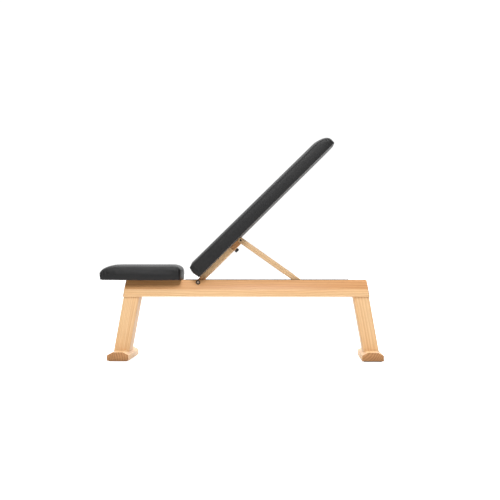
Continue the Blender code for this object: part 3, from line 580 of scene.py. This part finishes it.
def makePad(name, node, placement, settings, body):
    piece, box = padBlank(node, placement, settings)
    low, high, front, rear, halfWidth = box
    inflate(piece, settings, low)
    refine = piece.modifiers.new("refine", "SUBSURF")
    refine.levels = 1
    refine.render_levels = 1
    applyModifiers(piece)
    # the swollen cover is set back to the pad's own length, width and height
    sizes = []
    for axis, (goalLow, goalHigh) in enumerate(((front, rear), (-halfWidth, halfWidth), (low, high))):
        nowLow = min(v.co[axis] for v in piece.data.vertices)
        nowHigh = max(v.co[axis] for v in piece.data.vertices)
        sizes.append((nowLow, (goalHigh - goalLow) / (nowHigh - nowLow), goalLow))
    for v in piece.data.vertices:
        for axis, (nowLow, factor, goalLow) in enumerate(sizes):
            v.co[axis] = goalLow + (v.co[axis] - nowLow) * factor
    tuck(piece, settings, box)
    bake(piece, placement)
    nameIt(piece, name)
    piece.data.materials.clear()
    piece.data.materials.append(leather)
    piece.data.shade_smooth()
    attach(piece, body)
    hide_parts(node)
    print(name, "upholstered,", len(piece.data.polygons), "faces")


makePad("seat_cover", "seat_pad", Matrix.Identity(4), seatPadShape, "frame")
makePad("back_cover", "back_pad", backFrame, backPadShape, "back")


stapleShape = {"crown": 0.0095, "wire": 0.0007, "flat": 1.4, "sunk": 0.2, "rounding": 0.3,
               "pitch": 0.034, "inset": 0.0065, "slant": 0.12}


def makeStaples(name, node, placement, body, settings=stapleShape):
    # one staple is a flattened wire crown; the row follows the cloth's edge
    mesh = nodes[node].data.copy()
    mesh.transform(placement.inverted())
    lowX, highX = min(v.co.x for v in mesh.vertices), max(v.co.x for v in mesh.vertices)
    highY = max(v.co.y for v in mesh.vertices)
    under = min(v.co.z for v in mesh.vertices)
    bpy.data.meshes.remove(mesh)
    inset = settings["inset"]
    spots = []
    count = round((highX - lowX - 2 * inset) / settings["pitch"])
    for i in range(count + 1):
        x = lowX + inset + (highX - lowX - 2 * inset) * i / count
        spots += [(x, highY - inset, 0.0), (x, inset - highY, 0.0)]
    count = round((2 * highY - 4 * inset) / settings["pitch"])
    for i in range(1, count):
        y = inset - highY + (2 * highY - 2 * inset) * i / count
        spots += [(lowX + inset, y, math.pi / 2), (highX - inset, y, math.pi / 2)]
    deselectAll()
    bpy.ops.mesh.primitive_cube_add(size=1.0)
    first = bpy.context.object
    first.scale = (settings["crown"], settings["wire"] * settings["flat"], settings["wire"])
    bpy.ops.object.transform_apply(location=False, rotation=False, scale=True)
    copies = []
    for i, (x, y, turn) in enumerate(spots):
        staple = first.copy()
        staple.data = first.data.copy()
        bpy.context.scene.collection.objects.link(staple)
        slant = settings["slant"] * math.sin(i * 2.3)  # no staple is driven quite straight
        staple.matrix_basis = (Matrix.Translation((x, y, under - settings["wire"] * settings["sunk"]))
                               @ Matrix.Rotation(turn + slant, 4, "Z"))
        copies.append(staple)
    bpy.data.objects.remove(first)
    deselectAll()
    for staple in copies:
        staple.select_set(True)
    bpy.context.view_layer.objects.active = copies[0]
    bpy.ops.object.join()
    row = bpy.context.object
    soften = row.modifiers.new("soften", "BEVEL")
    soften.width = settings["wire"] * settings["rounding"]
    soften.segments = 1
    bpy.ops.object.transform_apply(location=True, rotation=True, scale=True)
    applyModifiers(row)
    bake(row, placement)
    nameIt(row, name)
    row.data.materials.clear()
    row.data.materials.append(brightSteel)
    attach(row, body)
    print(name, len(spots), "staples")


makeStaples("seat_staples", "seat_backing", Matrix.Identity(4), "frame")
makeStaples("back_staples", "back_backing", backFrame, "back")


stageLooks = {"floorSize": 60.0, "floor": (0.70, 0.70, 0.70), "glow": (0.06, 0.06, 0.06),
              "floorSeen": (0.75, 0.75, 0.75), "front": 0.03, "behind": 1.3, "above": 1.1,
              "roomSeen": 1.05}


def makeStage(settings=stageLooks):
    deselectAll()
    bpy.ops.mesh.primitive_plane_add(size=settings["floorSize"], location=(0, 0, -0.0004))
    floor = nameIt(bpy.context.object, "floor")
    g = Graph(bpy.data.materials.new("paleFloor"))
    seen = g.node("LightPath", output="Is Camera Ray")
    g.set(Base_Color=settings["floor"], Roughness=0.35, Emission_Strength=1.0,
          Emission_Color=g.mix(seen, settings["glow"], settings["floorSeen"]))
    floor.data.materials.append(g.owner)

    # the room is white to look at, and dimmer in front of the bench than behind and above it
    world = bpy.data.worlds.new("studio")
    bpy.context.scene.world = world
    room = Graph(world)
    background = room.tree.nodes["Background"]
    direction = room.node("TexCoord", output="Generated")
    y, z = room.axis(direction, 1), room.axis(direction, 2)
    level = settings["front"] + y.step(-0.5, 0.7) * (settings["behind"] - settings["front"])
    level = level + z.step(0.25, 1.0) * settings["above"]
    seen = room.node("LightPath", output="Is Camera Ray")
    level = level * (1.0 - seen) + seen * settings["roomSeen"]
    room.plug(background.inputs["Color"], (1.0, 1.0, 1.0))
    room.plug(background.inputs["Strength"], level)


lights = {
    "front": {"place": (0.1, -3.1, 2.55), "aim": (0.0, 0.0, 0.35), "size": 1.5, "watts": 92.0},
    "top": {"place": (-0.4, 0.5, 2.6), "aim": (0.0, 0.0, 0.4), "size": 1.6, "watts": 26.0},
}


def makeLights():
    for name, settings in lights.items():
        data = bpy.data.lights.new(name, "AREA")
        data.shape = "SQUARE"
        data.size = settings["size"]
        data.energy = settings["watts"]
        lamp = bpy.data.objects.new(name, data)
        bpy.context.scene.collection.objects.link(lamp)
        lamp.location = settings["place"]
        aim = Vector(settings["aim"]) - Vector(settings["place"])
        lamp.rotation_euler = aim.to_track_quat("-Z", "Y").to_euler()


cameraSettings = {"place": (0.224, -6.25, 0.4746), "lens": 96.0, "up": 0.30, "left": 1.675}


def makeCamera(settings=cameraSettings):
    data = bpy.data.cameras.new("camera")
    data.lens = settings["lens"]
    camera = bpy.data.objects.new("camera", data)
    bpy.context.scene.collection.objects.link(camera)
    camera.location = settings["place"]
    camera.rotation_euler = (math.radians(90.0 + settings["up"]), 0.0, math.radians(settings["left"]))
    bpy.context.scene.camera = camera


makeStage()
makeLights()
makeCamera()
bpy.context.scene.view_settings.view_transform = "Standard"
print("stage set")
